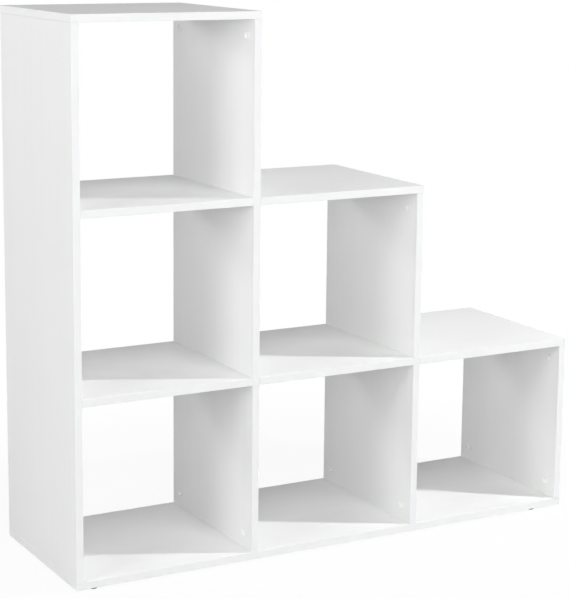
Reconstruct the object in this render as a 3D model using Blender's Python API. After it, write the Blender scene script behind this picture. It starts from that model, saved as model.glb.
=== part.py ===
"""Stepped cube shelf of six open compartments: three in the left column, two in the middle, one on the right.

Boards of one thickness meet in butt joints, each drawn tight by cams that hook bolts and lined up by dowels.
Metres, +Z up. X runs from left to right as seen from the front, the front is at -Y, and the glides stand on
Z 0.
"""

import math
from dataclasses import dataclass

import bmesh
import bpy
from mathutils import Matrix, Vector

# Boards
BOARD = 0.015            # thickness of every board
CELL_WIDTH = 0.356       # clear width of a compartment
CELL_HEIGHT = 0.338      # clear height of a compartment
DEPTH = 0.354            # front edge to back edge
EDGE_EASE = 0.0004       # chamfer left by trimming the edge bands
JOINT_GAP = 0.0003       # clearance between pieces that bear on each other

# Cams and their cover caps
CAM_RADIUS = 0.0075      # outside of a cam
CAM_SETBACK = 0.032      # end of the board to the axis of its cams
CAM_INSET = 0.032        # front or back edge to the axis of a cam in an upright
CAM_FLOOR = 0.0025       # board left behind a cam's bore
POCKET_RADIUS = 0.0054   # hollow that takes the bolt's head
POCKET_THROW = 0.0006    # how far the hollow lies off the cam's axis
HEAD_ROOM = 0.0004       # clearance round the bolt's head and neck inside a cam
CAP_LIP = 0.001          # how far a cap reaches past its cam
CAP_RISE = 0.0009        # height of a cap over the board
CAP_BEVEL = 0.0009       # width of the slope round a cap's rim
CUP_WALL = 0.0011        # outside of a cam to the floor of the hollow in its cap
CUP_DEPTH = 0.003        # rim of a cap to the floor of that hollow

# Bolts
SCREW_RADIUS = 0.0022    # end that is screwed into the board that is met
PILOT_FLOOR = 0.004      # board left behind a bolt's pilot hole
SHANK_RADIUS = 0.0035    # shank that stops on the face of that board
NECK_RADIUS = 0.0018     # waist that lies in the cam's slot
NECK_LEAD = 0.001        # length of waist outside the cam
HEAD_RADIUS = 0.0033
HEAD_LENGTH = 0.0033
HEAD_CONE = 0.0015       # length of the slope under the head
HEAD_TIP = 0.0006        # bevel at the end of the head
BORE_CLEARANCE = 0.0005  # round a bolt's shank

# Dowel holes
DOWEL_RADIUS = 0.004
DOWEL_INSET = 0.064      # front or back edge to a dowel in a shelf
DOWEL_REACH = 0.022      # depth of a dowel hole in the end of a board
DOWEL_FLOOR = 0.005      # board left behind a dowel hole in a face

# Glides
GLIDE_RADIUS = 0.009
GLIDE_HEIGHT = 0.004
GLIDE_ROUND = 0.0015     # rounding of the lower edge
GLIDE_INSET = 0.015      # front or back edge to a glide's middle
GLIDE_FROM_LEFT = 0.039  # left end of the bottom panel to a glide's middle
GLIDE_FROM_RIGHT = 0.068
NAIL_RADIUS = 0.0011
NAIL_FLOOR = 0.004       # board left above a glide's nail

# Facets
CAM_SIDES = 14
POCKET_SIDES = 10
BOLT_SIDES = 8
HOLE_SIDES = 8
GLIDE_SIDES = 16
SLOT_STEPS = 5
ROUND_STEPS = 2
CUT_PAST = 0.002         # how far a cutter stands out of the surface that it cuts
MERGE_WITHIN = 0.000001  # points of a turned piece that meet on its axis or its seam
SMOOTH_BELOW = math.radians(40)

# Worked out from the sizes above
COLUMN_PITCH = CELL_WIDTH + BOARD
LEVEL_PITCH = CELL_HEIGHT + BOARD
WIDTH = 3 * CELL_WIDTH + 4 * BOARD
PANEL_UNDERSIDE = GLIDE_HEIGHT + JOINT_GAP
SEAT_FLOOR = PANEL_UNDERSIDE + BOARD - JOINT_GAP
CAM_DEPTH = BOARD - CAM_FLOOR
CAM_BORE_RADIUS = CAM_RADIUS + JOINT_GAP
CAP_RADIUS = CAM_RADIUS + CAP_LIP
BOLT_BORE_RADIUS = SHANK_RADIUS + BORE_CLEARANCE
PILOT_RADIUS = SCREW_RADIUS + JOINT_GAP
PILOT_DEPTH = BOARD - PILOT_FLOOR
NAIL_LENGTH = BOARD - NAIL_FLOOR
HOOK_RADIUS = POCKET_RADIUS - POCKET_THROW

RIGHT = Vector((1, 0, 0))
UP = Vector((0, 0, 1))

# Uprights: name, column, level of the board that lies on top of it, the way its cams face
UPRIGHTS = (
    ("left_side", 0, 3, RIGHT),
    ("tall_divider", 1, 3, -RIGHT),
    ("short_divider", 2, 2, -RIGHT),
    ("right_side", 3, 1, -RIGHT),
)
# Level boards: name, level, then the column and the fit at the left end and at the right end.
# An end fits over an upright, flush with its outer face, or butts against it.
LEVEL_BOARDS = (
    ("bottom_panel", 0, (0, "over"), (3, "over")),
    ("upper_top", 3, (0, "over"), (1, "over")),
    ("middle_top", 2, (1, "butts"), (2, "over")),
    ("lower_top", 1, (2, "butts"), (3, "over")),
    ("upper_shelf", 2, (0, "butts"), (1, "butts")),
    ("left_shelf", 1, (0, "butts"), (1, "butts")),
    ("middle_shelf", 1, (1, "butts"), (2, "butts")),
)
# Which board lies on the uprights of each column
BOARD_OVER = {0: "upper_top", 1: "upper_top", 2: "middle_top", 3: "lower_top"}

# Places along the depth: an upright's end has a cam either side of a dowel, and a shelf's end has a dowel
# either side of a cam.
UPRIGHT_CAMS = {"front_": CAM_INSET - DEPTH / 2, "back_": DEPTH / 2 - CAM_INSET}
UPRIGHT_DOWELS = (0.0,)
SHELF_CAMS = {"": 0.0}
SHELF_DOWELS = (DOWEL_INSET - DEPTH / 2, DEPTH / 2 - DOWEL_INSET)


@dataclass
class ButtJoint:
    """The end of one board standing square against the face of another."""

    end_board: str    # board whose end is met, which holds the cams
    label: str        # which of its ends
    face_board: str   # board whose face is met, which holds the bolts
    point: Vector     # middle of the joint, on the face that is met
    into: Vector      # along the end board, away from the joint
    cam_side: Vector  # the way the cams face
    cams: dict        # place along the depth of each cam, by the row's name
    dowels: tuple     # places along the depth of the dowels


def clear_scene():
    for thing in list(bpy.data.objects):
        bpy.data.objects.remove(thing, do_unlink=True)


def finish_of(name, colour, roughness, metallic):
    """A plain material of one colour."""
    material = bpy.data.materials.new(name)
    material.use_nodes = True
    shader = material.node_tree.nodes["Principled BSDF"]
    shader.inputs["Base Color"].default_value = (*colour, 1.0)
    shader.inputs["Roughness"].default_value = roughness
    shader.inputs["Metallic"].default_value = metallic
    return material


def place(name, mesh, material, matrix=None):
    """A piece of the shelf, parented to the shelf's own empty."""
    piece = bpy.data.objects.new(name, mesh)
    bpy.context.scene.collection.objects.link(piece)
    if not mesh.materials:
        mesh.materials.append(material)
    piece.parent = bpy.data.objects["cube_shelf"]
    if matrix is not None:
        piece.matrix_world = matrix
    return piece


def mesh_from(name, shape, smooth=False):
    """Turns a bmesh into a mesh with its faces pointing outwards."""
    bmesh.ops.recalc_face_normals(shape, faces=shape.faces)
    mesh = bpy.data.meshes.new(name)
    shape.to_mesh(mesh)
    shape.free()
    if smooth:
        mesh.shade_smooth()
        mesh.set_sharp_from_angle(angle=SMOOTH_BELOW)
    return mesh


def turned(name, profile, sides):
    """A round piece: a profile of (radius, height) points that starts and ends on the axis, spun about Z."""
    shape = bmesh.new()
    points = [shape.verts.new((radius, 0, height)) for radius, height in profile]
    edges = [shape.edges.new(pair) for pair in zip(points, points[1:])]
    bmesh.ops.spin(
        shape, geom=points + edges, cent=(0, 0, 0), axis=UP, angle=math.tau, steps=sides, use_merge=True
    )
    bmesh.ops.remove_doubles(shape, verts=shape.verts, dist=MERGE_WITHIN)
    return mesh_from(name, shape, smooth=True)


def prism(name, outline, low, high):
    """A flat outline of (x, y) points carried from one height to another."""
    shape = bmesh.new()
    base = shape.faces.new([shape.verts.new((x, y, low)) for x, y in outline])
    risen = bmesh.ops.extrude_face_region(shape, geom=[base])["geom"]
    corners = [item for item in risen if isinstance(item, bmesh.types.BMVert)]
    bmesh.ops.translate(shape, verts=corners, vec=(0, 0, high - low))
    return mesh_from(name, shape)


def helper(name, mesh, parent):
    """A cutter, which is drawn as wires and isn't part of the shelf."""
    tool = bpy.data.objects.new(name, mesh)
    bpy.context.scene.collection.objects.link(tool)
    tool.hide_render = True
    tool.display_type = "WIRE"
    tool.parent = parent
    tool.matrix_parent_inverse = parent.matrix_world.inverted()
    return tool


def cut(piece, tool):
    boolean = piece.modifiers.new(tool.name, "BOOLEAN")
    boolean.operation = "DIFFERENCE"
    boolean.solver = "EXACT"
    boolean.object = tool


def settled(piece):
    """The mesh of a piece once it is cut; its cutters are then done with."""
    bpy.context.view_layer.update()
    graph = bpy.context.evaluated_depsgraph_get()
    mesh = bpy.data.meshes.new_from_object(piece.evaluated_get(graph))
    for boolean in piece.modifiers:
        bpy.data.objects.remove(boolean.object, do_unlink=True)
    piece.modifiers.clear()
    return mesh


def upright_left(column):
    """X of the left face of the upright in a column."""
    return column * COLUMN_PITCH - WIDTH / 2


def level_underside(level):
    """Z of the underside of the boards at a level."""
    return PANEL_UNDERSIDE + level * LEVEL_PITCH


def board(name, low, high, material):
    """A board between two corners, its edges eased."""
    size = high - low
    shape = bmesh.new()
    bmesh.ops.create_cube(shape, size=1, matrix=Matrix.Diagonal((*size, 1)))
    bmesh.ops.bevel(
        shape, geom=shape.edges[:], offset=EDGE_EASE, segments=1, profile=0.5, affect="EDGES"
    )
    return place(name, mesh_from(name, shape), material, Matrix.Translation((low + high) / 2))


def make_boards(material):
    """Every board by name, at its place."""
    boards = {}
    half = DEPTH / 2
    for name, column, top_level, _ in UPRIGHTS:
        left = upright_left(column)
        low = Vector((left, -half, SEAT_FLOOR + JOINT_GAP))
        high = Vector((left + BOARD, half, level_underside(top_level) - JOINT_GAP))
        boards[name] = board(name, low, high, material)
    for name, level, (left_column, left_fit), (right_column, right_fit) in LEVEL_BOARDS:
        left = upright_left(left_column)
        if left_fit == "butts":
            left += BOARD + JOINT_GAP
        right = upright_left(right_column) + BOARD
        if right_fit == "butts":
            right -= BOARD + JOINT_GAP
        under = level_underside(level)
        low = Vector((left, -half, under))
        high = Vector((right, half, under + BOARD))
        boards[name] = board(name, low, high, material)
    return boards


def upright_butts():
    """The joints at the top and the bottom of each upright."""
    butts = []
    for name, column, top_level, cam_side in UPRIGHTS:
        middle = upright_left(column) + BOARD / 2
        floor = Vector((middle, 0, SEAT_FLOOR))
        ceiling = Vector((middle, 0, level_underside(top_level)))
        rows = (UPRIGHT_CAMS, UPRIGHT_DOWELS)
        butts.append(ButtJoint(name, "bottom", "bottom_panel", floor, UP, cam_side, *rows))
        butts.append(ButtJoint(name, "top", BOARD_OVER[column], ceiling, -UP, cam_side, *rows))
    return butts


def shelf_butts():
    """The joints where a level board's end meets an upright, grouped by column and level."""
    upright_names = {column: name for name, column, _, _ in UPRIGHTS}
    rows = (SHELF_CAMS, SHELF_DOWELS)
    groups = {}
    for name, level, (left_column, left_fit), (right_column, right_fit) in LEVEL_BOARDS:
        middle = level_underside(level) + BOARD / 2
        if left_fit == "butts":
            point = Vector((upright_left(left_column) + BOARD, 0, middle))
            butt = ButtJoint(name, "left", upright_names[left_column], point, RIGHT, -UP, *rows)
            groups.setdefault((left_column, level), []).append(butt)
        if right_fit == "butts":
            point = Vector((upright_left(right_column), 0, middle))
            butt = ButtJoint(name, "right", upright_names[right_column], point, -RIGHT, -UP, *rows)
            groups.setdefault((right_column, level), []).append(butt)
    return groups


def frame_at(origin, along_x, along_z):
    """The matrix that stands a piece at a point with its own X and Z along two directions."""
    turn = Matrix((along_x, along_z.cross(along_x), along_z)).transposed()
    return Matrix.Translation(origin) @ turn.to_4x4()


def cam_mesh():
    """A cam with its cup-shaped cap pressed in: Z points out of the board from its face, and X to the joint.

    The bolt's head lies in a round hollow set off the cam's axis, so that a turn of the cam draws it in. A
    slot in the wall lets the neck pass, and a window opposite the hook lets the head in.
    """
    cap_top = JOINT_GAP + CAP_RISE
    profile = [
        (0, JOINT_GAP - CAM_DEPTH),
        (CAM_RADIUS, JOINT_GAP - CAM_DEPTH),
        (CAM_RADIUS, JOINT_GAP),
        (CAP_RADIUS, JOINT_GAP),
        (CAP_RADIUS - CAP_BEVEL, cap_top),
        (CAM_RADIUS - CUP_WALL, cap_top - CUP_DEPTH),
        (0, cap_top - CUP_DEPTH),
    ]
    body = bpy.data.objects.new("cam", turned("cam_blank", profile, CAM_SIDES))
    bpy.context.scene.collection.objects.link(body)
    bolt_level = -BOARD / 2
    head_half = HEAD_RADIUS + HEAD_ROOM
    slot_half = NECK_RADIUS + HEAD_ROOM
    outside = CAM_RADIUS + CUT_PAST
    circle = [step * math.tau / POCKET_SIDES for step in range(POCKET_SIDES)]
    pocket = [(POCKET_RADIUS * math.cos(a) - POCKET_THROW, POCKET_RADIUS * math.sin(a)) for a in circle]
    slot_from = -math.asin(slot_half / CAM_RADIUS)
    slot_turn = math.pi - slot_from
    sweep = [slot_from + slot_turn * step / SLOT_STEPS for step in range(SLOT_STEPS + 1)]
    slot = [(0, -slot_half)] + [(outside * math.cos(a), outside * math.sin(a)) for a in sweep]
    window = [(-outside, -head_half), (0, -head_half), (0, head_half), (-outside, head_half)]
    hollows = {
        "cam_pocket": (pocket, head_half),
        "cam_slot": (slot, slot_half),
        "cam_window": (window, head_half),
    }
    for name, (outline, half) in hollows.items():
        cut(body, helper(name, prism(name, outline, bolt_level - half, bolt_level + half), body))
    mesh = settled(body)
    bpy.data.objects.remove(body, do_unlink=True)
    return mesh


def hooked_end(cam_axis):
    """A bolt's profile from its shank to the tip of its head, for a cam whose axis lies at that height."""
    under_head = cam_axis - HOOK_RADIUS + JOINT_GAP
    neck_start = cam_axis - CAM_RADIUS - NECK_LEAD
    tip = under_head + HEAD_LENGTH
    return [
        (SHANK_RADIUS, neck_start),
        (NECK_RADIUS, neck_start),
        (NECK_RADIUS, under_head),
        (HEAD_RADIUS, under_head + HEAD_CONE),
        (HEAD_RADIUS, tip - HEAD_TIP),
        (HEAD_RADIUS - HEAD_TIP, tip),
        (0, tip),
    ]


def single_bolt_mesh():
    """A bolt that is screwed into a face, standing along Z from that face."""
    point = JOINT_GAP - PILOT_DEPTH
    profile = [
        (0, point),
        (SCREW_RADIUS, point + SCREW_RADIUS),
        (SCREW_RADIUS, JOINT_GAP),
        (SHANK_RADIUS, JOINT_GAP),
    ]
    return turned("single_bolt", profile + hooked_end(JOINT_GAP + CAM_SETBACK), BOLT_SIDES)


def double_bolt_mesh():
    """A bolt with a head at both ends, which runs through a divider, centred on it along Z."""
    upper = hooked_end(BOARD / 2 + JOINT_GAP + CAM_SETBACK)
    lower = [(radius, -height) for radius, height in reversed(upper)]
    return turned("double_bolt", lower + upper, BOLT_SIDES)


def glide_mesh():
    """A moulded disc with a rounded lower edge and a nail that stands in its middle."""
    flat = GLIDE_RADIUS - GLIDE_ROUND
    turns = [step * math.pi / 2 / ROUND_STEPS for step in range(ROUND_STEPS + 1)]
    edge = [(flat + GLIDE_ROUND * math.sin(a), GLIDE_ROUND - GLIDE_ROUND * math.cos(a)) for a in turns]
    nail_top = GLIDE_HEIGHT + NAIL_LENGTH
    profile = [
        (0, 0),
        *edge,
        (GLIDE_RADIUS, GLIDE_HEIGHT),
        (NAIL_RADIUS, GLIDE_HEIGHT),
        (NAIL_RADIUS, nail_top - NAIL_RADIUS),
        (0, nail_top),
    ]
    return turned("glide", profile, GLIDE_SIDES)


class Drillings:
    """The holes in each board, cut by two tools: one for the cams' bores, one for the narrower holes."""

    def __init__(self):
        self.holes = {}

    def add(self, board_name, kind, point, direction, radius, depth, sides):
        """A hole that starts at a point of the surface and runs along a direction into the board."""
        self.holes.setdefault((board_name, kind), []).append((point, direction, radius, depth, sides))

    def cut_all(self, boards):
        for (board_name, kind), holes in self.holes.items():
            shape = bmesh.new()
            for point, direction, radius, depth, sides in holes:
                middle = point + direction * (depth - CUT_PAST) / 2
                turn = direction.to_track_quat("Z", "Y").to_matrix().to_4x4()
                bmesh.ops.create_cone(
                    shape,
                    cap_ends=True,
                    segments=sides,
                    radius1=radius,
                    radius2=radius,
                    depth=depth + CUT_PAST,
                    matrix=Matrix.Translation(middle) @ turn,
                )
            name = f"{board_name}_{kind}"
            cut(boards[board_name], helper(name, mesh_from(name, shape), boards[board_name]))


def drill_end(drillings, butt):
    """The cam bores, bolt bores and dowel holes at the end of a board."""
    for place_y in butt.cams.values():
        end = butt.point + butt.into * JOINT_GAP + Vector((0, place_y, 0))
        face = end + butt.into * CAM_SETBACK + butt.cam_side * BOARD / 2
        drillings.add(
            butt.end_board, "cam_bores", face, -butt.cam_side, CAM_BORE_RADIUS, CAM_DEPTH, CAM_SIDES
        )
        drillings.add(
            butt.end_board, "drillings", end, butt.into, BOLT_BORE_RADIUS, CAM_SETBACK, HOLE_SIDES
        )
    for place_y in butt.dowels:
        end = butt.point + butt.into * JOINT_GAP + Vector((0, place_y, 0))
        drillings.add(butt.end_board, "drillings", end, butt.into, DOWEL_RADIUS, DOWEL_REACH, HOLE_SIDES)


def drill_face(drillings, butt, bolt_radius, bolt_depth, dowel_depth):
    """The bolts' and dowels' holes in the face that a board's end meets."""
    holes = [(place_y, bolt_radius, bolt_depth) for place_y in butt.cams.values()]
    holes += [(place_y, DOWEL_RADIUS, dowel_depth) for place_y in butt.dowels]
    for place_y, radius, depth in holes:
        start = butt.point + Vector((0, place_y, 0))
        drillings.add(butt.face_board, "drillings", start, -butt.into, radius, depth, HOLE_SIDES)


def place_cams(butt, mesh, material):
    for row, place_y in butt.cams.items():
        origin = butt.point + butt.into * (JOINT_GAP + CAM_SETBACK) + butt.cam_side * BOARD / 2
        matrix = frame_at(origin + Vector((0, place_y, 0)), -butt.into, butt.cam_side)
        place(f"{butt.end_board}_{butt.label}_{row}cam", mesh, material, matrix)


def place_single_bolts(butt, mesh, material):
    for row, place_y in butt.cams.items():
        matrix = frame_at(butt.point + Vector((0, place_y, 0)), butt.cam_side, butt.into)
        place(f"{butt.end_board}_{butt.label}_{row}bolt", mesh, material, matrix)


def make_glides(drillings, material):
    mesh = glide_mesh()
    sides = {"left": GLIDE_FROM_LEFT - WIDTH / 2, "right": WIDTH / 2 - GLIDE_FROM_RIGHT}
    rows = {"front": GLIDE_INSET - DEPTH / 2, "back": DEPTH / 2 - GLIDE_INSET}
    for row, place_y in rows.items():
        for side, place_x in sides.items():
            place(f"glide_{row}_{side}", mesh, material, Matrix.Translation((place_x, place_y, 0)))
            seat = Vector((place_x, place_y, PANEL_UNDERSIDE))
            drillings.add(
                "bottom_panel", "drillings", seat, UP, NAIL_RADIUS + JOINT_GAP, NAIL_LENGTH, HOLE_SIDES
            )


def cut_seats(panel):
    """Shallow seats across the panel for the uprights' feet, so that each floor is a face of its own."""
    shape = bmesh.new()
    size = Vector((BOARD + 2 * JOINT_GAP, DEPTH + 2 * CUT_PAST, JOINT_GAP + CUT_PAST))
    for _, column, _, _ in UPRIGHTS:
        middle = Vector((upright_left(column) + BOARD / 2, 0, SEAT_FLOOR + size.z / 2))
        matrix = Matrix.Translation(middle) @ Matrix.Diagonal((*size, 1))
        bmesh.ops.create_cube(shape, size=1, matrix=matrix)
    name = f"{panel.name}_seats"
    cut(panel, helper(name, mesh_from(name, shape), panel))


def build():
    clear_scene()
    shelf = bpy.data.objects.new("cube_shelf", None)
    bpy.context.scene.collection.objects.link(shelf)
    melamine = finish_of("white_melamine", (0.86, 0.865, 0.86), 0.45, 0.0)
    cap_plastic = finish_of("white_cap_plastic", (0.84, 0.84, 0.83), 0.35, 0.0)
    zinc = finish_of("zinc_plate", (0.62, 0.63, 0.65), 0.35, 1.0)
    glide_plastic = finish_of("dark_glide_plastic", (0.06, 0.06, 0.06), 0.5, 0.0)

    boards = make_boards(melamine)
    drillings = Drillings()
    cam = cam_mesh()
    single_bolt = single_bolt_mesh()
    double_bolt = double_bolt_mesh()

    single_butts = upright_butts()
    for butts in shelf_butts().values():
        if len(butts) == 1:
            single_butts += butts
            continue
        for butt in butts:
            drill_end(drillings, butt)
            place_cams(butt, cam, cap_plastic)
        left = next(butt for butt in butts if butt.label == "right")
        right = next(butt for butt in butts if butt.label == "left")
        drill_face(drillings, left, BOLT_BORE_RADIUS, BOARD + CUT_PAST, BOARD + CUT_PAST)
        middle = (left.point + right.point) / 2
        name = f"{left.end_board}_to_{right.end_board}_bolt"
        place(name, double_bolt, zinc, frame_at(middle, right.cam_side, right.into))
    for butt in single_butts:
        drill_end(drillings, butt)
        drill_face(drillings, butt, PILOT_RADIUS, PILOT_DEPTH, BOARD - DOWEL_FLOOR)
        place_cams(butt, cam, cap_plastic)
        place_single_bolts(butt, single_bolt, zinc)
    make_glides(drillings, glide_plastic)
    bpy.context.view_layer.update()
    cut_seats(boards["bottom_panel"])
    drillings.cut_all(boards)


build()
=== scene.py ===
"""Looks of the stepped cube shelf: banded boards, dished caps over cams, bolts, dowels and glides.

Metres, in the frame of the solids: X runs to the right as seen from the front, the front looks to -Y
and the floor is at Z 0.
"""

import math
from dataclasses import dataclass

import bpy
import numpy as np
from mathutils import Matrix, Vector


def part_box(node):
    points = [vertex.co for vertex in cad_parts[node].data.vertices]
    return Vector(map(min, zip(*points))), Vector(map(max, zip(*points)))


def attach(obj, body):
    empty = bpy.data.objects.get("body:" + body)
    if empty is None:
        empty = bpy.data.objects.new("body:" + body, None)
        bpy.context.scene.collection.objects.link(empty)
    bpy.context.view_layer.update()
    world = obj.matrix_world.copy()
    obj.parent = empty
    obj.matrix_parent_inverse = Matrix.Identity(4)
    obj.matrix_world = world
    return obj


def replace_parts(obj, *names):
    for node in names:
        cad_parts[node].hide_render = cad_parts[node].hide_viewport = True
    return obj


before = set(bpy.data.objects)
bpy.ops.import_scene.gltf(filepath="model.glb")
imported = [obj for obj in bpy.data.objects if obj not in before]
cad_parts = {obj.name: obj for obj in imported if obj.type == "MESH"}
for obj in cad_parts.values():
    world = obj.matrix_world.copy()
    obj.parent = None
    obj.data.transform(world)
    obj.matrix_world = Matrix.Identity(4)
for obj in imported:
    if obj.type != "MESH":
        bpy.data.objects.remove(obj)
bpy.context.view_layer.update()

# Boards
BAND = 0.0008            # thickness of an edge band
BAND_ROUND = 0.0006      # rounding of a band's edges
LEAST_ROUND = BAND_ROUND / 20      # what is left of it where an end is drawn in
RAW_EASE = 0.0002        # broken edge of a sawn end that lies in a joint
TIGHT = 0.00005          # what is left open in a joint that its bolts have drawn up
SEAM_WIDTH = 0.0002      # fine groove where a band meets the board
SEAM_DEPTH = 0.0001      # and how deep that groove is
ROUND_STEPS = 5          # steps in the rounding of a band's edge
FIBRE_SHARE = 0.6        # how much of the melamine's faint tone is fibres, and not clouds
FIBRES_LEVEL = (0.02, 1.0, 1.0)    # scale along each axis: the smaller, the longer the fibres
FIBRES_UPRIGHT = (1.0, 1.0, 0.02)

# Fittings, with the sizes of their solids
CAM_RADIUS = 0.0075
CAM_SETBACK = 0.032      # axis of a cam from its joint
CAM_DEPTH = 0.0125       # depth of its bore
CAM_CLEARANCE = 0.0002
CAM_SIDES = 48
CAM_FACE = -0.0028       # outer face of a cam, measured out of the board's face
POCKET_RADIUS = 0.0054   # hollow of a cam, which draws a bolt's head in
POCKET_THROW = 0.0006    # how far that hollow lies off the cam's axis
HEAD_ROOM = 0.0004       # clearance round a bolt's head and neck
DRIVE_RADIUS = 0.0026    # round socket for the driver in a cam's face
DRIVE_DEPTH = 0.0006
CUT_PAST = 0.002         # how far a cutter starts outside the piece that it cuts

CAP_RADIUS = 0.0085
CAP_SEAT = 0.00005       # clearance under a cap's flange
CAP_RISE = 0.0012        # top of a cap's rim
DISH_RADIUS = 0.0076
CUP_POWER = 3            # the higher, the flatter the floor and the steeper the wall
DISH_FLOOR = -0.0018     # middle of the dish, measured out of the board's face
PLUG_RADIUS = 0.0073     # part of a cap that fits the bore
PLUG_DEPTH = 0.0026
STEM_RADIUS = 0.0022     # peg that stands in the driver's socket
STEM_DEPTH = 0.0032

SCREW_CORE = 0.0017      # radius at the root of the thread
SCREW_CREST = 0.0022     # and at its crest
SCREW_PITCH = 0.0016
SCREW_LENGTH = 0.0107
SCREW_POINT = 0.0022     # length over which the screw comes to its point
SCREW_TIP = SCREW_CORE / 10        # how far the very tip stands out of it
POINT_WIDTH = 0.02       # width of a screw at its point, as a share of its full width
SHANK_RADIUS = 0.0035
NECK_RADIUS = 0.0018
NECK_LEAD = 0.001        # how far outside its cam a bolt's neck starts
HEAD_RADIUS = 0.0033
HEAD_LENGTH = 0.0033
HEAD_CONE = 0.0015       # length of the cone under a head
HEAD_TIP = 0.0006        # broken edge of a head
JOINT_GAP = 0.0003       # left between solids that would touch
BOLT_SIDES = 32
BOLT_BORE = 0.004        # radius of the bore for a bolt
PILOT_RADIUS = 0.0025    # hole that a bolt is screwed into
PILOT_DEPTH = 0.011

DOWEL_HOLE = 0.004       # radius of the hole for a dowel
DOWEL_RADIUS = 0.0039
DOWEL_FLUTES = 18
DOWEL_FLUTE_DEPTH = 0.00025
DOWEL_CHAMFER = 0.0012
DOWEL_END_ROOM = 0.0008  # left at each end of a dowel
DOWEL_REACH = 0.022      # depth of a dowel hole in the end of a board
DOWEL_FACE_DEPTH = 0.010           # and in the face that is met
SHELF_DOWELS = (-0.113, 0.113)     # places of the dowels along the depth
UPRIGHT_DOWELS = (0.0,)

GLIDE_ROUND = 0.0006     # rounding of a glide's foot
GLIDE_HEIGHT = 0.004
GLIDE_SIDES = 64
NAIL_RADIUS = 0.0011
NAIL_TIP = 0.0148        # tip of the nail above the floor
NAIL_POINT = 2 * NAIL_RADIUS       # length of its point
NAIL_CLEARANCE = 0.00005
NAIL_FOOT = 0.0015       # foot of the nail above the floor, inside the moulded pad
NAIL_HOLE = 0.0014
NAIL_HOLE_DEPTH = 0.011

# Fineness of the round shapes. HOLE_SIDES isn't a multiple of 4, so that no corner of a bolt's bore
# lies on an edge of the cam's bore that it runs into
HOLE_SIDES = 30
DISH_POINTS = 12
LIP_STEPS = 6
POCKET_SIDES = 32
SLOT_STEPS = 16
THREAD_POINTS = 64
FLUTE_SIDES = 6          # sides of a dowel for each flute
FOOT_STEPS = 8
SHARP_ANGLE = 35.0       # degrees; sharper edges stay sharp

# Places of a board's materials in its list
DECOR, BANDED, SAWN = 0, 1, 2
# Axes that a board's length may run along
LEVEL, UPRIGHT = 0, 2

X = np.array((1.0, 0.0, 0.0))
Y = np.array((0.0, 1.0, 0.0))
Z = np.array((0.0, 0.0, 1.0))

# Uprights: the way their cams face along X, and the board that lies on top
UPRIGHTS = {
    "left_side": (1, "upper_top"),
    "tall_divider": (-1, "upper_top"),
    "short_divider": (-1, "middle_top"),
    "right_side": (-1, "lower_top"),
}
# Level boards: the upright that each end butts against, or None where the end is banded and in view
LEVEL_BOARDS = {
    "bottom_panel": (None, None),
    "upper_top": (None, None),
    "middle_top": ("tall_divider", None),
    "lower_top": ("short_divider", None),
    "upper_shelf": ("left_side", "tall_divider"),
    "left_shelf": ("left_side", "tall_divider"),
    "middle_shelf": ("tall_divider", "short_divider"),
}
# Bolts that run through a divider: the shelf on its left and the board on its right
THROUGH_BOLTS = (
    ("upper_shelf", "middle_top"),
    ("left_shelf", "middle_shelf"),
    ("middle_shelf", "lower_top"),
)


@dataclass
class Joint:
    """The end of one board standing square against the face of another."""

    end_board: str
    face_board: str
    label: str          # which end
    end: np.ndarray     # middle of the sawn end
    into: np.ndarray    # along the end board, away from the joint
    facing: np.ndarray  # the way its cams face
    rows: tuple         # names of its rows of cams
    dowels: tuple       # places of its dowels along the depth
    through: bool       # whether its bolts and dowels run on into another board


def corners(node):
    """The lowest and the highest corner of a solid, as arrays."""
    low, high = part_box(node)
    return np.array(low), np.array(high)


def make_joints():
    """Every joint, read from the boxes of the boards."""
    joints = []
    for name, (side, top) in UPRIGHTS.items():
        low, high = corners(name)
        middle = (low + high) / 2
        foot = ("bottom", "bottom_panel", low[2], Z)
        head = ("top", top, high[2], -Z)
        for label, met, level, into in (foot, head):
            end = np.array((middle[0], 0.0, level))
            rows = ("front_", "back_")
            joints.append(Joint(name, met, label, end, into, side * X, rows, UPRIGHT_DOWELS, False))
    through_left = [left for left, _ in THROUGH_BOLTS]
    through_right = [right for _, right in THROUGH_BOLTS]
    for name, (left, right) in LEVEL_BOARDS.items():
        low, high = corners(name)
        middle = (low + high) / 2
        if left:
            end = np.array((low[0], 0.0, middle[2]))
            through = name in through_right
            joints.append(Joint(name, left, "left", end, X, -Z, ("",), SHELF_DOWELS, through))
        if right:
            end = np.array((high[0], 0.0, middle[2]))
            through = name in through_left
            joints.append(Joint(name, right, "right", end, -X, -Z, ("",), SHELF_DOWELS, through))
    return joints


def cam_node(joint, row):
    """The name of a cam's solid."""
    return f"{joint.end_board}_{joint.label}_{row}cam"


def cam_seat(joint, row):
    """The point of the board's face on a cam's axis."""
    low, high = corners(cam_node(joint, row))
    board_low, board_high = corners(joint.end_board)
    outward = np.maximum(joint.facing, 0)
    inward = np.maximum(-joint.facing, 0)
    across = 1 - outward - inward
    return (low + high) / 2 * across + board_high * outward + board_low * inward


# Meshes


def new_mesh(name, points, faces, materials, face_materials=None):
    """A mesh from arrays of points and faces, with a material for each face."""
    mesh = bpy.data.meshes.new(name)
    mesh.from_pydata(points.reshape(-1, 3).tolist(), [], [list(map(int, face)) for face in faces])
    for material in materials:
        mesh.materials.append(material)
    if face_materials is not None:
        mesh.polygons.foreach_set("material_index", np.asarray(face_materials, np.int32))
    mesh.validate()
    mesh.update()
    return mesh


def add_piece(name, mesh):
    """A finished piece of the shelf, which stays with the shelf's one body."""
    piece = bpy.data.objects.new(name, mesh)
    bpy.context.scene.collection.objects.link(piece)
    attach(piece, "root")
    return piece


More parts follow.
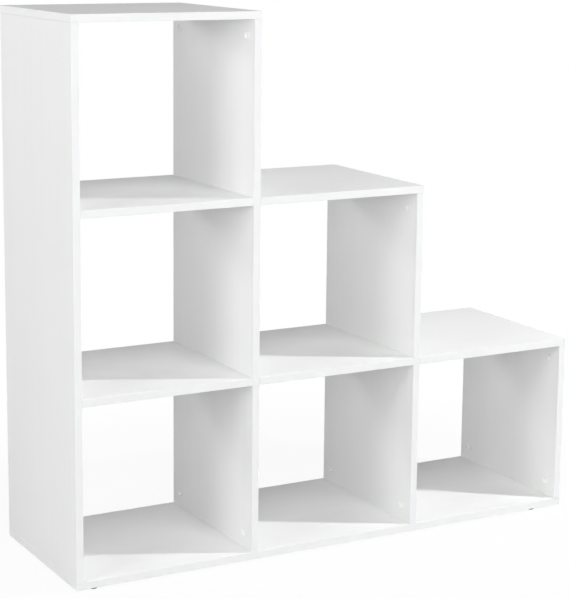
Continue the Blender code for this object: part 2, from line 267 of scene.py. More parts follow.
def grid_faces(rings, around):
    """Quads between neighbouring rings of a closed tube, with as many points in every ring."""
    ring = np.arange(rings - 1)[:, None] * around
    here = np.arange(around)[None, :]
    after = (here + 1) % around
    quads = [ring + here, ring + after, ring + around + after, ring + around + here]
    return np.stack(quads, -1).reshape(-1, 4)


def turned(radii, heights, sides):
    """Points and faces of a turned piece.

    Each pair of radius and height is carried round the Z axis, and a row of radii may be given in
    place of one. The first and the last are single points on the axis, each joined to its neighbour
    by a fan of triangles.
    """
    radii = np.asarray(radii, float)
    heights = np.asarray(heights, float)
    angle = np.arange(sides) * math.tau / sides
    inner = slice(1, -1)
    ring = radii[inner, None] if radii.ndim == 1 else radii[inner]
    level = np.broadcast_to(heights[inner, None], (len(heights) - 2, sides))
    body = np.stack([ring * np.cos(angle), ring * np.sin(angle), level], -1).reshape(-1, 3)
    ends = np.array([[0, 0, heights[0]], [0, 0, heights[-1]]])
    points = np.concatenate([body, ends])
    rings = len(heights) - 2
    here = np.arange(sides)
    after = (here + 1) % sides
    first = np.full(sides, rings * sides)
    low_fan = np.stack([first, after, here], -1)
    top = (rings - 1) * sides
    high_fan = np.stack([first + 1, top + here, top + after], -1)
    return points, [*grid_faces(rings, sides), *low_fan, *high_fan]


def prism(outline, low, high):
    """Points and faces of a flat outline of x and y carried from one height to another."""
    outline = np.asarray(outline, float)
    count = len(outline)
    levels = np.repeat((low, high), count)[:, None]
    points = np.concatenate([np.concatenate([outline, outline]), levels], 1)
    return points, [*grid_faces(2, count), np.arange(count)[::-1], count + np.arange(count)]


def placed(points, origin, along_x, along_z):
    """A piece's points, turned so that its X and Z lie along two directions and moved to a place."""
    axes = np.stack([along_x, np.cross(along_z, along_x), along_z])
    return points @ axes + origin


def rounded(radius, start, stop, steps):
    """The cosines and the sines, times the radius, along an arc between two angles in degrees."""
    angle = np.radians(np.linspace(start, stop, steps + 1))
    return radius * np.cos(angle), radius * np.sin(angle)


def cut_by(mesh, cutters):
    """The mesh after the cutters are taken out of it; hole walls keep the cutters' material."""
    whole = bpy.data.objects.new("whole", mesh)
    bpy.context.scene.collection.objects.link(whole)
    tools = []
    for cutter in cutters:
        tool = bpy.data.objects.new("cutter", cutter)
        bpy.context.scene.collection.objects.link(tool)
        boolean = whole.modifiers.new("cut", "BOOLEAN")
        boolean.operation = "DIFFERENCE"
        boolean.solver = "EXACT"
        boolean.material_mode = "TRANSFER"
        boolean.object = tool
        tools.append(tool)
    bpy.context.view_layer.update()
    graph = bpy.context.evaluated_depsgraph_get()
    result = bpy.data.meshes.new_from_object(whole.evaluated_get(graph))
    for thing in [whole, *tools]:
        bpy.data.objects.remove(thing, do_unlink=True)
    return result


# Materials

MIDDLE_HALF = (0.25, 0.75)


def new_material(name):
    """An empty material and what is needed to wire it: its nodes, its links and its shader."""
    material = bpy.data.materials.new(name)
    material.use_nodes = True
    tree = material.node_tree
    return material, tree.nodes, tree.links, tree.nodes["Principled BSDF"]


def noise(nodes, links, scale, detail=2.0, roughness=0.5, stretch=None):
    """Noise on the piece's own coordinates, so many waves to the metre, scaled along each axis."""
    place = nodes.new("ShaderNodeTexCoord").outputs["Object"]
    if stretch:
        mapping = nodes.new("ShaderNodeMapping")
        mapping.inputs["Scale"].default_value = stretch
        links.new(place, mapping.inputs["Vector"])
        place = mapping.outputs["Vector"]
    texture = nodes.new("ShaderNodeTexNoise")
    texture.inputs["Scale"].default_value = scale
    texture.inputs["Detail"].default_value = detail
    texture.inputs["Roughness"].default_value = roughness
    links.new(place, texture.inputs["Vector"])
    return texture.outputs["Fac"]


def shades(nodes, links, source, stops):
    """A colour ramp: pairs of place and colour."""
    ramp = nodes.new("ShaderNodeValToRGB")
    elements = ramp.color_ramp.elements
    while len(elements) < len(stops):
        elements.new(0.5)
    for element, (position, colour) in zip(elements, stops):
        element.position = position
        element.color = (*colour, 1.0)
    links.new(source, ramp.inputs["Fac"])
    return ramp.outputs["Color"]


def spread(nodes, links, source, low, high):
    """A value that runs from low to high as the middle half of the source does."""
    reach = nodes.new("ShaderNodeMapRange")
    reach.inputs["From Min"].default_value = MIDDLE_HALF[0]
    reach.inputs["From Max"].default_value = MIDDLE_HALF[1]
    reach.inputs["To Min"].default_value = low
    reach.inputs["To Max"].default_value = high
    links.new(source, reach.inputs["Value"])
    return reach.outputs["Result"]


def bumped(nodes, links, shader, source, height, strength):
    """Relief with a height in metres."""
    bump = nodes.new("ShaderNodeBump")
    bump.inputs["Strength"].default_value = strength
    bump.inputs["Distance"].default_value = height
    links.new(source, bump.inputs["Height"])
    links.new(bump.outputs["Normal"], shader.inputs["Normal"])


def white_melamine(name, along):
    """White decor paper under resin: faint fibres along the board, clouds of tone and a pearl grain."""
    material, nodes, links, shader = new_material(f"white_melamine_{name}")
    fibres = noise(nodes, links, scale=90.0, detail=5.0, roughness=0.6, stretch=along)
    tone = nodes.new("ShaderNodeMix")
    tone.inputs["Factor"].default_value = FIBRE_SHARE
    links.new(noise(nodes, links, scale=5.0, detail=3.0), tone.inputs["A"])
    links.new(fibres, tone.inputs["B"])
    tones = ((0.3, (0.840, 0.845, 0.840)), (0.7, (0.866, 0.871, 0.866)))
    links.new(shades(nodes, links, tone.outputs["Result"], tones), shader.inputs["Base Color"])
    grain = noise(nodes, links, scale=1300.0, detail=2.0)
    links.new(spread(nodes, links, grain, low=0.50, high=0.60), shader.inputs["Roughness"])
    bumped(nodes, links, shader, grain, height=0.00004, strength=0.35)
    return material


def white_band():
    """White edge band: smoother than the boards, with a faint unevenness of tone and shine."""
    material, nodes, links, shader = new_material("white_edge_band")
    streaks = noise(nodes, links, scale=900.0, detail=1.0, stretch=(0.02, 1.0, 0.02))
    tones = ((0.3, (0.850, 0.856, 0.862)), (0.7, (0.864, 0.870, 0.876)))
    links.new(shades(nodes, links, streaks, tones), shader.inputs["Base Color"])
    links.new(spread(nodes, links, streaks, low=0.34, high=0.42), shader.inputs["Roughness"])
    bumped(nodes, links, shader, streaks, height=0.00002, strength=0.2)
    return material


def raw_chipboard():
    """Sawn chipboard: pale and dark chips with hollows between them."""
    material, nodes, links, shader = new_material("raw_chipboard")
    chips = noise(nodes, links, scale=420.0, detail=4.0, roughness=0.7)
    tones = (
        (0.32, (0.20, 0.12, 0.06)),
        (0.5, (0.46, 0.31, 0.17)),
        (0.68, (0.64, 0.48, 0.30)),
    )
    links.new(shades(nodes, links, chips, tones), shader.inputs["Base Color"])
    links.new(spread(nodes, links, chips, low=0.75, high=0.95), shader.inputs["Roughness"])
    bumped(nodes, links, shader, chips, height=0.0003, strength=0.6)
    return material


def cap_plastic():
    """White moulded plastic: a slight shine and a trace of flow in its tone."""
    material, nodes, links, shader = new_material("white_cap_plastic")
    flow = noise(nodes, links, scale=160.0, detail=2.0)
    tones = ((0.3, (0.89, 0.89, 0.885)), (0.7, (0.905, 0.905, 0.90)))
    links.new(shades(nodes, links, flow, tones), shader.inputs["Base Color"])
    links.new(spread(nodes, links, flow, low=0.20, high=0.28), shader.inputs["Roughness"])
    grain = noise(nodes, links, scale=2600.0, detail=1.0)
    bumped(nodes, links, shader, grain, height=0.00002, strength=0.15)
    return material


def zinc_plate():
    """Bright zinc with the faint bloom of the plating bath."""
    material, nodes, links, shader = new_material("zinc_plate")
    bloom = noise(nodes, links, scale=700.0, detail=3.0)
    tones = ((0.3, (0.55, 0.57, 0.60)), (0.7, (0.68, 0.69, 0.70)))
    links.new(shades(nodes, links, bloom, tones), shader.inputs["Base Color"])
    links.new(spread(nodes, links, bloom, low=0.26, high=0.42), shader.inputs["Roughness"])
    shader.inputs["Metallic"].default_value = 1.0
    return material


def glide_plastic():
    """Dark moulded plastic with a spark-eroded grain and paler scuffs."""
    material, nodes, links, shader = new_material("dark_glide_plastic")
    scuffs = noise(nodes, links, scale=260.0, detail=4.0, roughness=0.6)
    tones = ((0.45, (0.020, 0.020, 0.021)), (0.75, (0.055, 0.055, 0.055)))
    links.new(shades(nodes, links, scuffs, tones), shader.inputs["Base Color"])
    links.new(spread(nodes, links, scuffs, low=0.42, high=0.62), shader.inputs["Roughness"])
    grain = noise(nodes, links, scale=2200.0, detail=2.0)
    bumped(nodes, links, shader, grain, height=0.00004, strength=0.4)
    return material


def beech():
    """Beech: pinkish tan with fine dark flecks drawn out along the grain."""
    material, nodes, links, shader = new_material("beech")
    grain = noise(nodes, links, scale=500.0, detail=3.0, stretch=(0.15, 1.0, 0.15))
    tones = (
        (0.3, (0.48, 0.31, 0.18)),
        (0.5, (0.62, 0.44, 0.28)),
        (0.7, (0.68, 0.50, 0.33)),
    )
    links.new(shades(nodes, links, grain, tones), shader.inputs["Base Color"])
    links.new(spread(nodes, links, grain, low=0.5, high=0.7), shader.inputs["Roughness"])
    bumped(nodes, links, shader, grain, height=0.0001, strength=0.4)
    return material


# Boards


def board_section(half_depth, half_thickness, inset):
    """The outline of a board across its length, as depth and thickness, drawn in all round by an inset.

    Four straight sides are joined by quarter circles, and the two broad sides carry a V groove where
    each edge band begins. The second value tells for each point whether the side that starts there
    belongs to a band.
    """
    radius = max(BAND_ROUND - inset, LEAST_ROUND)
    depth_centre = half_depth - inset - radius
    thick_centre = half_thickness - inset - radius
    side = half_thickness - inset
    groove = half_depth - BAND
    outline = []
    banded = []
    for quarter in range(4):
        cos, sin = rounded(radius, 90 * quarter, 90 * quarter + 90, ROUND_STEPS)
        sign_depth = 1 if quarter in (0, 3) else -1
        sign_thick = 1 if quarter in (0, 1) else -1
        depths = sign_depth * depth_centre + cos
        levels = sign_thick * thick_centre + sin
        outline.append(np.stack([depths, levels], -1))
        banded += [True] * (ROUND_STEPS + 1)
        if quarter in (0, 2):
            turn = 1 if quarter == 0 else -1
            for place in (groove, -groove):
                steps = np.array((SEAM_WIDTH / 2, 0.0, -SEAM_WIDTH / 2))
                depths = turn * (place + steps)
                levels = turn * (side - np.array((0.0, SEAM_DEPTH, 0.0)))
                outline.append(np.stack([depths, levels], -1))
            # The sides from the third to the fifth of the grooves' six points are the board's own
            banded += [True, True, False, False, True, True]
    return np.concatenate(outline), np.array(banded)


def end_rings(banded):
    """Places inward from a board's end, and how far the outline is drawn in at each of them.

    A sawn end has a small slope round it. A banded one has a quarter circle, and a V groove where the
    band ends. The third value tells for each place whether the stretch that follows belongs to a band.
    """
    if not banded:
        return np.array((0.0, RAW_EASE)), np.array((RAW_EASE, 0.0)), np.array((False, False))
    cos, sin = rounded(BAND_ROUND, 90, 0, ROUND_STEPS)
    places = np.concatenate([BAND_ROUND - sin, BAND + np.array((-0.5, 0.0, 0.5)) * SEAM_WIDTH])
    insets = np.concatenate([BAND_ROUND - cos, (0.0, SEAM_DEPTH, 0.0)])
    return places, insets, np.array([True] * (ROUND_STEPS + 3) + [False])


def board_mesh(name, low, high, length_axis, low_banded, high_banded, materials):
    """A board: its outline carried along its length, drawn in at each end and closed there."""
    thick_axis = {LEVEL: UPRIGHT, UPRIGHT: LEVEL}[length_axis]
    size = high - low
    middle = (low + high) / 2
    low_places, low_insets, low_bands = end_rings(low_banded)
    high_places, high_insets, high_bands = end_rings(high_banded)
    half = size[length_axis] / 2
    places = np.concatenate([low_places - half, half - high_places[::-1]])
    insets = np.concatenate([low_insets, high_insets[::-1]])
    between = np.concatenate([low_bands[:-1], [False], high_bands[:-1][::-1]])
    sections = [board_section(size[1] / 2, size[thick_axis] / 2, inset) for inset in insets]
    banded = sections[0][1]
    outline = np.stack([section for section, _ in sections])
    rings, around = outline.shape[:2]
    points = np.zeros((rings, around, 3))
    points[..., length_axis] = places[:, None]
    points[..., 1] = outline[..., 0]
    points[..., thick_axis] = outline[..., 1]
    faces = grid_faces(rings, around)
    on_band = between[:, None] | banded[None, :]
    kinds = np.where(on_band, BANDED, DECOR).reshape(-1)
    ends = [np.arange(around)[::-1], (rings - 1) * around + np.arange(around)]
    faces = [*faces, *ends]
    end_kinds = [BANDED if end_banded else SAWN for end_banded in (low_banded, high_banded)]
    kinds = np.concatenate([kinds, end_kinds])
    if length_axis == LEVEL:
        faces = [face[::-1] for face in faces]
    return new_mesh(name, points + middle, faces, materials, kinds)


class Holes:
    """The holes of every board, gathered before they are cut."""

    def __init__(self):
        self.wanted = {}    # points and faces of the holes, by board and kind

    def add(self, board, kind, start, along, radius, depth, sides=HOLE_SIDES):
        """A hole that starts at a point of the surface and runs along a direction into the board."""
        radii = np.array((0.0, radius, radius, 0.0))
        heights = np.array((-CUT_PAST, -CUT_PAST, depth, depth))
        points, faces = turned(radii, heights, sides)
        self.wanted.setdefault((board, kind), []).append((placed(points, start, Y, along), faces))

    def drill(self, board, start, along, radius, depth):
        """A drilled hole, for a bolt, a screw, a dowel or a nail."""
        self.add(board, "drillings", start, along, radius, depth)

    def cutters(self, board, material):
        """One mesh for each kind of hole in a board."""
        found = []
        for (name, kind), holes in self.wanted.items():
            if name == board:
                counts = np.cumsum([0] + [len(points) for points, _ in holes])
                points = np.concatenate([points for points, _ in holes])
                faces = []
                for start, (_, some) in zip(counts, holes):
                    faces += [np.asarray(face) + start for face in some]
                found.append(new_mesh(kind, points, faces, [material]))
        return found


def gather_holes(joints):
    """The bores for cams, bolts, dowels and nails, as the solids have them."""
    holes = Holes()
    for joint in joints:
        face = joint.end - joint.into * JOINT_GAP
        for row in joint.rows:
            seat = cam_seat(joint, row)
            across = seat * Y
            bore = CAM_RADIUS + CAM_CLEARANCE
            holes.add(joint.end_board, "cam_bores", seat, -joint.facing, bore, CAM_DEPTH, CAM_SIDES)
            holes.drill(joint.end_board, joint.end + across, joint.into, BOLT_BORE, CAM_SETBACK)
            if not joint.through:
                holes.drill(joint.face_board, face + across, -joint.into, PILOT_RADIUS, PILOT_DEPTH)
        for place in joint.dowels:
            across = place * Y
            holes.drill(joint.end_board, joint.end + across, joint.into, DOWEL_HOLE, DOWEL_REACH)
            if not joint.through:
                holes.drill(joint.face_board, face + across, -joint.into, DOWEL_HOLE, DOWEL_FACE_DEPTH)
        if joint.through and joint.label == "right":
            low, high = corners(joint.face_board)
            depth = high[0] - low[0] + CUT_PAST
            for row in joint.rows:
                across = cam_seat(joint, row) * Y
                holes.drill(joint.face_board, face + across, -joint.into, BOLT_BORE, depth)
            for place in joint.dowels:
                holes.drill(joint.face_board, face + place * Y, -joint.into, DOWEL_HOLE, depth)
    underside = corners("bottom_panel")[0][2]
    for glide in glide_nodes():
        low, high = corners(glide)
        seat = np.array(((low[0] + high[0]) / 2, (low[1] + high[1]) / 2, underside))
        holes.drill("bottom_panel", seat, Z, NAIL_HOLE, NAIL_HOLE_DEPTH)
    return holes


def drawn_up(name):
    """The corners of a board whose sawn ends reach up to the faces that they meet."""
    low, high = corners(name)
    closing = JOINT_GAP - TIGHT
    if name in UPRIGHTS:
        return low + TIGHT * Z, high + closing * Z
    left, right = LEVEL_BOARDS[name]
    return low - bool(left) * closing * X, high + bool(right) * closing * X


def make_boards(joints, band, chipboard):
    """Every board with its bands and its bores, its fibres running along its length."""
    holes = gather_holes(joints)
    decor = {
        LEVEL: white_melamine("level", FIBRES_LEVEL),
        UPRIGHT: white_melamine("upright", FIBRES_UPRIGHT),
    }
    forms = {name: (UPRIGHT, False, False) for name in UPRIGHTS}
    for name, (left, right) in LEVEL_BOARDS.items():
        forms[name] = (LEVEL, left is None, right is None)
    for name, form in forms.items():
        low, high = drawn_up(name)
        mesh = board_mesh(name, low, high, *form, [decor[form[0]], band, chipboard])
        board = add_piece(f"{name}_board", cut_by(mesh, holes.cutters(name, chipboard)))
        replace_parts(board, name)


# Fittings


def cap_shape():
    """A cap: a cup whose wall rises with a power of the radius, a rounded rim, a plug and a peg."""
    rise = np.linspace(0.0, 1.0, DISH_POINTS)
    dish = DISH_RADIUS * rise ** (1 / CUP_POWER)
    dish_levels = DISH_FLOOR + (CAP_RISE - DISH_FLOOR) * rise
    lip = CAP_RADIUS - DISH_RADIUS
    cos, sin = rounded(1.0, 90, 0, LIP_STEPS)
    radii = [
        0.0, STEM_RADIUS, STEM_RADIUS, PLUG_RADIUS, PLUG_RADIUS,
        *(DISH_RADIUS + lip * cos[::-1]), *dish[-2::-1],
    ]
    heights = [
        -STEM_DEPTH, -STEM_DEPTH, -PLUG_DEPTH, -PLUG_DEPTH, CAP_SEAT,
        *(CAP_SEAT + (CAP_RISE - CAP_SEAT) * sin[::-1]), *dish_levels[-2::-1],
    ]
    return turned(radii, heights, CAM_SIDES)


def cam_mesh(material):
    """A cam: a drum with a driver's socket, a hollow off its axis, a slot for the neck and a window.

    The drum is turned, and the three hollows are prisms that are cut out of it.
    """
    bottom = JOINT_GAP - CAM_DEPTH
    radii = [0.0, CAM_RADIUS, CAM_RADIUS, DRIVE_RADIUS, DRIVE_RADIUS, 0.0]
    heights = [bottom, bottom, CAM_FACE, CAM_FACE, CAM_FACE - DRIVE_DEPTH, CAM_FACE - DRIVE_DEPTH]
    drum = new_mesh("cam", *turned(radii, heights, CAM_SIDES), [material])
    low, high = corners("left_shelf")
    level = -(high[2] - low[2]) / 2
    head_half = HEAD_RADIUS + HEAD_ROOM
    slot_half = NECK_RADIUS + HEAD_ROOM
    outside = CAM_RADIUS + CUT_PAST
    pocket_x, pocket_y = rounded(POCKET_RADIUS, 0, 360, POCKET_SIDES)
    pocket = np.stack([pocket_x - POCKET_THROW, pocket_y], -1)[:-1]
    slot_from = -math.degrees(math.asin(slot_half / CAM_RADIUS))
    sweep = np.stack(rounded(outside, slot_from, 180 - slot_from, SLOT_STEPS), -1)
    slot = np.concatenate([[(0.0, -slot_half)], sweep])
    window = [(-outside, -head_half), (0, -head_half), (0, head_half), (-outside, head_half)]
    hollows = []
    for outline, half in ((pocket, head_half), (slot, slot_half), (window, head_half)):
        hollows.append(new_mesh("hollow", *prism(outline, level - half, level + half), [material]))
    return cut_by(drum, hollows)


def mesh_arrays(mesh):
    """The points and faces of a mesh."""
    points = np.zeros(len(mesh.vertices) * 3, np.float32)
    mesh.vertices.foreach_get("co", points)
    faces = [np.array(polygon.vertices) for polygon in mesh.polygons]
    return points.reshape(-1, 3).astype(float), faces


def hooked_end(cam_axis):
    """Radii and heights of a bolt from its shank to the tip of its head, for a cam at that height."""
    under_head = cam_axis - POCKET_RADIUS + POCKET_THROW + JOINT_GAP
    neck_start = cam_axis - CAM_RADIUS - NECK_LEAD
    tip = under_head + HEAD_LENGTH
    neck_radii = [SHANK_RADIUS, NECK_RADIUS, NECK_RADIUS]
    neck_heights = [neck_start, neck_start, under_head]
    head_radii = [HEAD_RADIUS, HEAD_RADIUS, HEAD_RADIUS - HEAD_TIP, 0.0]
    head_heights = [under_head + HEAD_CONE, tip - HEAD_TIP, tip, tip]
    return neck_radii + head_radii, neck_heights + head_heights


def single_bolt_shape():
    """A bolt that is screwed into a face, standing along Z from it.

    Its thread is a ridge whose height depends on how far a point's height, counted in pitches, runs
    ahead of its turn about the axis. Core and ridge both narrow towards the point.
    """
    radii, heights = hooked_end(JOINT_GAP + CAM_SETBACK)
    turns = np.arange(BOLT_SIDES) / BOLT_SIDES
    screw = np.linspace(-SCREW_LENGTH, 0.0, THREAD_POINTS)
    phase = (screw[:, None] / SCREW_PITCH - turns[None, :]) % 1.0
    ridge = 1 - np.abs(2 * phase - 1)
    taper = np.clip((screw + SCREW_LENGTH) / SCREW_POINT, POINT_WIDTH, 1.0)[:, None]
    thread = (SCREW_CORE + (SCREW_CREST - SCREW_CORE) * ridge ** 2) * taper
    collar = JOINT_GAP + TIGHT
    rest = np.array([SCREW_CORE, SHANK_RADIUS, *radii])[:, None] * np.ones(BOLT_SIDES)
    first = np.zeros((1, BOLT_SIDES))
    all_radii = np.concatenate([first, thread, rest])
    tip = -SCREW_LENGTH - SCREW_TIP
    all_heights = np.concatenate([[tip], screw, [collar, collar], heights])
    return turned(all_radii, all_heights, BOLT_SIDES)


def double_bolt_shape(thickness):
    """A bolt with a head at both ends, centred on the divider that it runs through, along Z."""
    radii, heights = hooked_end(thickness / 2 + JOINT_GAP + CAM_SETBACK)
    both_radii = [*radii[::-1], *radii]
    both_heights = [*(-np.array(heights[::-1])), *heights]
    return turned(both_radii, both_heights, BOLT_SIDES)


def dowel_shape(length):
    """A fluted dowel along Z from 0: its radius dips by a squared cosine, once for each flute."""
    sides = DOWEL_FLUTES * FLUTE_SIDES
    angle = np.arange(sides) * math.tau / sides
    flutes = DOWEL_FLUTE_DEPTH * np.cos(angle * DOWEL_FLUTES / 2) ** 2
    body = DOWEL_RADIUS - flutes
    ends = np.full(sides, DOWEL_RADIUS - DOWEL_CHAMFER)
    radii = np.stack([0 * body, ends, body, body, ends, 0 * body])
    heights = np.array((0.0, 0.0, DOWEL_CHAMFER, length - DOWEL_CHAMFER, length, length))
    return turned(radii, heights, sides)


def smooth(mesh):
    """The mesh with its round faces shaded as round ones."""
    mesh.shade_smooth()
    mesh.set_sharp_from_angle(angle=math.radians(SHARP_ANGLE))
    return mesh


def make_dowels(joint, material):
    """The dowels of a joint. Those that run through a divider are made with the joint on its left."""
    if joint.through and joint.label == "left":
        return
    start = joint.end - joint.into * (JOINT_GAP + DOWEL_FACE_DEPTH - DOWEL_END_ROOM)
    length = DOWEL_FACE_DEPTH + JOINT_GAP + DOWEL_REACH - 2 * DOWEL_END_ROOM
    if joint.through:
        low, high = corners(joint.face_board)
        reach = high[0] - low[0] + 2 * JOINT_GAP + DOWEL_REACH
        start = joint.end - joint.into * (reach - DOWEL_END_ROOM)
        length = reach + DOWEL_REACH - 2 * DOWEL_END_ROOM
    shape, faces = dowel_shape(length)
    for number, place in enumerate(joint.dowels, 1):
        points = placed(shape, start + place * Y, Y, joint.into)
        name = f"{joint.end_board}_{joint.label}_dowel_{number}"
        add_piece(name, smooth(new_mesh(name, points, faces, [material])))


def make_fittings(joints, cap_material, zinc_material, beech_material):
    """Caps, cams, bolts and dowels at every joint."""
    cap_points, cap_faces = cap_shape()
    cam_points, cam_faces = mesh_arrays(cam_mesh(zinc_material))
    bolt_points, bolt_faces = single_bolt_shape()
    for joint in joints:
        face = joint.end - joint.into * JOINT_GAP
        for row in joint.rows:
            name = f"{joint.end_board}_{joint.label}_{row}"
            seat = cam_seat(joint, row)
            turn = (seat, -joint.into, joint.facing)
            cap = new_mesh(f"{name}cap", placed(cap_points, *turn), cap_faces, [cap_material])
            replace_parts(add_piece(f"{name}cap", smooth(cap)), f"{name}cam")
            cam = new_mesh(f"{name}cam_drum", placed(cam_points, *turn), cam_faces, [zinc_material])
            add_piece(f"{name}cam_drum", smooth(cam))
            if not joint.through:
                foot = face + seat * Y
                points = placed(bolt_points, foot, joint.facing, joint.into)
                bolt = new_mesh(f"{name}screw_bolt", points, bolt_faces, [zinc_material])
                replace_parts(add_piece(f"{name}screw_bolt", smooth(bolt)), f"{name}bolt")
        make_dowels(joint, beech_material)


def make_through_bolts(zinc_material):
    """The bolts that hold a board on each side of a divider."""
    for left, right in THROUGH_BOLTS:
        node = f"{left}_to_{right}_bolt"
        low, high = corners(node)
        divider_low, divider_high = corners(LEVEL_BOARDS[left][1])
        points, faces = double_bolt_shape(divider_high[0] - divider_low[0])
        points = placed(points, (low + high) / 2, Z, X)
        bolt = new_mesh(f"{left}_to_{right}_double_bolt", points, faces, [zinc_material])
        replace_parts(add_piece(f"{left}_to_{right}_double_bolt", smooth(bolt)), node)


def glide_nodes():
    """The names of the glides' solids."""
    return [f"glide_{row}_{side}" for row in ("front", "back") for side in ("left", "right")]


def make_glides(pad_material, zinc_material):
    """Glides: a turned pad with a quarter circle round its foot, and a pointed nail set in it."""
    for node in glide_nodes():
        low, high = corners(node)
        foot = np.array(((low[0] + high[0]) / 2, (low[1] + high[1]) / 2, low[2]))
        radius = (high[1] - low[1]) / 2
        cos, sin = rounded(GLIDE_ROUND, -90, 0, FOOT_STEPS)
        socket = NAIL_RADIUS + NAIL_CLEARANCE
        radii = [0.0, *(radius - GLIDE_ROUND + cos), radius, socket, socket, 0.0]
        heights = [0.0, *(GLIDE_ROUND + sin), GLIDE_HEIGHT, GLIDE_HEIGHT, NAIL_FOOT, NAIL_FOOT]
        points, faces = turned(radii, heights, GLIDE_SIDES)
        pad = smooth(new_mesh(f"{node}_pad", points + foot, faces, [pad_material]))
        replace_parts(add_piece(f"{node}_pad", pad), node)
        start = NAIL_FOOT + NAIL_CLEARANCE
        radii = [0.0, NAIL_RADIUS, NAIL_RADIUS, 0.0]
        heights = [start, start, NAIL_TIP - NAIL_POINT, NAIL_TIP]
        points, faces = turned(radii, heights, BOLT_SIDES)
        nail = smooth(new_mesh(f"{node}_nail", points + foot, faces, [zinc_material]))
        add_piece(f"{node}_nail", nail)


# Studio

IMAGE_HEIGHT = 599       # rows of the photograph, its longer side
SENSOR = 36.0            # millimetres
FOCAL_PIXELS = 1819.6    # focal length in pixels of the photograph
AXIS_ROW = 250.0         # row of the photograph that the optical axis meets
CAMERA_AT = (-1.8089, -3.1932, 1.2492)
CAMERA_YAW = 0.5091      # radians from +Y towards +X
CAMERA_PITCH = -0.1803   # radians above the level
CAMERA_ROLL = -0.0104    # radians

WHITE = (1.0, 1.0, 1.0, 1.0)
FLOOR_RADIUS = 8.0
FLOOR_SIDES = 64
FLOOR_ROUGHNESS = 0.9
FLOOR_COLOUR = (0.80, 0.80, 0.80, 1.0)
SHADOW_SHARE = 0.07      # share of the floor's own tone near the shelf; the rest is background white
SHADOW_NEAR = 0.60       # distance from the shelf's middle where that share begins to fall
SHADOW_FAR = 1.2         # and where nothing of it is left

# White lamps: where each stands, how wide it is and its power in watts
LAMPS = {
    "key": ((1.5, -0.95, 1.4), 0.12, 13.7),
    "left_front": ((-1.5, -3.0, 1.5), 1.2, 25.5),
    "left": ((-3.0, -1.0, 1.5), 1.2, 24.8),
    "left_low": ((-3.0, -1.0, 1.0), 1.0, 9.5),
    "front_top": ((0.0, -2.2, 3.2), 1.5, 33.0),
    "right": ((1.3, 0.0, 1.3), 0.3, 2.0),
    "back": ((0.0, 3.0, 0.9), 1.2, 14.6),
    "back_left": ((-2.5, 2.0, 1.5), 1.2, 14.5),
    "back_small": ((-1.6, 2.2, 1.55), 0.3, 7.9),
}
NO_GLARE = ("key", "right")    # lamps that leave no highlight of their own
LONG_THROW = ("key",)          # lamps that fade with the distance, not with its square
LAMP_AIM = np.array((0.0, 0.0, 0.5))
WORLD_STRENGTH = 0.02


def stand(place, across, up, back):
    """The matrix of a camera or lamp at a place, with the directions of its own three axes."""
    columns = np.stack([across, up, back, np.array(place)], 1)
    return Matrix(np.vstack([columns, (0.0, 0.0, 0.0, 1.0)]).tolist())


def make_camera():
    """The camera of the photograph: its place, three turns, lens and shift."""
    camera_data = bpy.data.cameras.new("camera")
    camera_data.sensor_width = SENSOR
    camera_data.lens = FOCAL_PIXELS * SENSOR / IMAGE_HEIGHT
    camera_data.shift_y = (AXIS_ROW - IMAGE_HEIGHT / 2) / IMAGE_HEIGHT
    camera = bpy.data.objects.new("camera", camera_data)
    bpy.context.scene.collection.objects.link(camera)
    level = np.array((math.sin(CAMERA_YAW), math.cos(CAMERA_YAW), 0.0))
    forward = level * math.cos(CAMERA_PITCH) + Z * math.sin(CAMERA_PITCH)
    right = np.array((math.cos(CAMERA_YAW), -math.sin(CAMERA_YAW), 0.0))
    down = np.cross(forward, right)
    across = right * math.cos(CAMERA_ROLL) + down * math.sin(CAMERA_ROLL)
    up = right * math.sin(CAMERA_ROLL) - down * math.cos(CAMERA_ROLL)
    camera.matrix_world = stand(CAMERA_AT, across, up, -forward)
    bpy.context.scene.camera = camera


def worked_out(nodes, links, operation, first, second):
    """One value made from two others."""
    node = nodes.new("ShaderNodeMath")
    node.operation = operation
    links.new(first, node.inputs[0])
    links.new(second, node.inputs[1])
    return node.outputs["Value"]


def mixed(nodes, links, share, first, second):
    """A shader that goes from the first to the second as the share goes from 0 to 1."""
    mix = nodes.new("ShaderNodeMixShader")
    links.new(share, mix.inputs["Fac"])
    links.new(first, mix.inputs[1])
    links.new(second, mix.inputs[2])
    return mix.outputs["Shader"]


def seen_directly(nodes, links):
    """1 for rays from the camera, off gloss or through glass, 0 for light that falls on the shelf."""
    path = nodes.new("ShaderNodeLightPath")
    total = path.outputs["Is Camera Ray"]
    for name in ("Is Glossy Ray", "Is Transmission Ray"):
        total = worked_out(nodes, links, "MAXIMUM", total, path.outputs[name])
    return total


def make_world():
    """White to look at, and nearly dark as a light."""
    world = bpy.data.worlds.new("studio")
    world.use_nodes = True
    bpy.context.scene.world = world
    nodes, links = world.node_tree.nodes, world.node_tree.links
    light = nodes["Background"]
    light.inputs["Color"].default_value = WHITE
    light.inputs["Strength"].default_value = WORLD_STRENGTH
    white = nodes.new("ShaderNodeBackground")
    white.inputs["Color"].default_value = WHITE
    share = seen_directly(nodes, links)
    look = mixed(nodes, links, share, light.outputs["Background"], white.outputs["Background"])
    links.new(look, nodes["World Output"].inputs["Surface"])


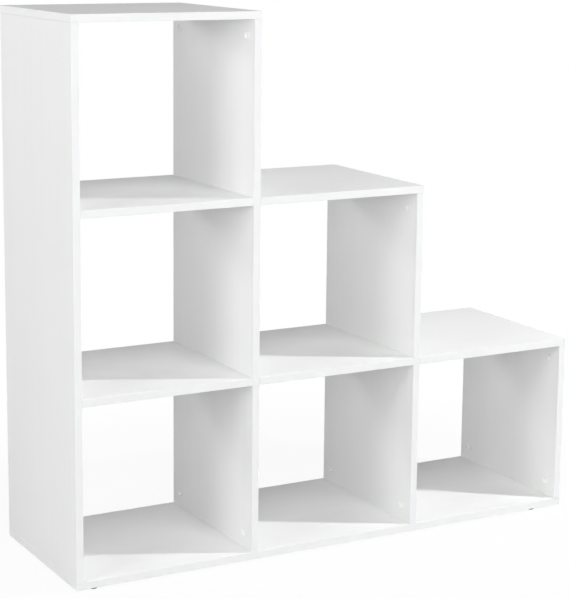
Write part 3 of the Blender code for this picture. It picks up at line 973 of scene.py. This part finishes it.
def floor_whiteness(nodes, links):
    """How white the floor is to look at: a little less near the shelf, where its shadow shows."""
    place = nodes.new("ShaderNodeTexCoord").outputs["Object"]
    distance = nodes.new("ShaderNodeVectorMath")
    distance.operation = "LENGTH"
    links.new(place, distance.inputs[0])
    whiteness = nodes.new("ShaderNodeMapRange")
    whiteness.interpolation_type = "SMOOTHSTEP"
    whiteness.inputs["From Min"].default_value = SHADOW_NEAR
    whiteness.inputs["From Max"].default_value = SHADOW_FAR
    whiteness.inputs["To Min"].default_value = 1.0 - SHADOW_SHARE
    whiteness.inputs["To Max"].default_value = 1.0
    links.new(distance.outputs["Value"], whiteness.inputs["Value"])
    seen = seen_directly(nodes, links)
    return worked_out(nodes, links, "MULTIPLY", seen, whiteness.outputs["Result"])


def seen_from_below(nodes, links):
    """1 for rays from the camera that meet the floor's underside, 0 for all others."""
    side = nodes.new("ShaderNodeNewGeometry").outputs["Backfacing"]
    camera_ray = nodes.new("ShaderNodeLightPath").outputs["Is Camera Ray"]
    return worked_out(nodes, links, "MULTIPLY", side, camera_ray)


def floor_white():
    """A pale floor that keeps the shelf's shadow, fades to white around it and is clear from below."""
    material, nodes, links, shader = new_material("studio_floor")
    shader.inputs["Base Color"].default_value = FLOOR_COLOUR
    shader.inputs["Roughness"].default_value = FLOOR_ROUGHNESS
    shader.inputs["Specular IOR Level"].default_value = 0.0
    white = nodes.new("ShaderNodeEmission")
    white.inputs["Color"].default_value = WHITE
    clear = nodes.new("ShaderNodeBsdfTransparent")
    share = floor_whiteness(nodes, links)
    upper_side = mixed(nodes, links, share, shader.outputs["BSDF"], white.outputs["Emission"])
    look = mixed(nodes, links, seen_from_below(nodes, links), upper_side, clear.outputs["BSDF"])
    links.new(look, nodes["Material Output"].inputs["Surface"])
    return material


def make_floor():
    """A round floor: points on a circle about the middle of the shelf."""
    angle = np.arange(FLOOR_SIDES) * math.tau / FLOOR_SIDES
    points = np.stack([FLOOR_RADIUS * np.cos(angle), FLOOR_RADIUS * np.sin(angle), 0 * angle], -1)
    mesh = new_mesh("floor", points, [np.arange(FLOOR_SIDES)], [floor_white()])
    floor = bpy.data.objects.new("floor", mesh)
    bpy.context.scene.collection.objects.link(floor)


def throw_far(data):
    """Let a lamp's light fade with the distance, not with its square."""
    data.use_nodes = True
    nodes, links = data.node_tree.nodes, data.node_tree.links
    fading = nodes.new("ShaderNodeLightFalloff")
    fading.inputs["Strength"].default_value = 1.0
    links.new(fading.outputs["Linear"], nodes["Emission"].inputs["Strength"])


def make_lamps():
    """Round lamps, each turned towards the middle of the shelf."""
    for name, (place, width, power) in LAMPS.items():
        data = bpy.data.lights.new(name, "AREA")
        data.shape = "DISK"
        data.size = width
        data.energy = power
        lamp = bpy.data.objects.new(name, data)
        bpy.context.scene.collection.objects.link(lamp)
        away = np.array(place) - LAMP_AIM
        away /= np.linalg.norm(away)
        across = np.cross(Z, away)
        across /= np.linalg.norm(across)
        lamp.matrix_world = stand(place, across, np.cross(away, across), away)
        lamp.visible_camera = False
        lamp.visible_glossy = name not in NO_GLARE
        if name in LONG_THROW:
            throw_far(data)


def main():
    """The camera, the shelf's pieces and the studio."""
    make_camera()
    joints = make_joints()
    zinc_material = zinc_plate()
    make_boards(joints, white_band(), raw_chipboard())
    make_fittings(joints, cap_plastic(), zinc_material, beech())
    make_through_bolts(zinc_material)
    make_glides(glide_plastic(), zinc_material)
    make_floor()
    make_world()
    make_lamps()
    bpy.context.scene.view_settings.view_transform = "Standard"


main()
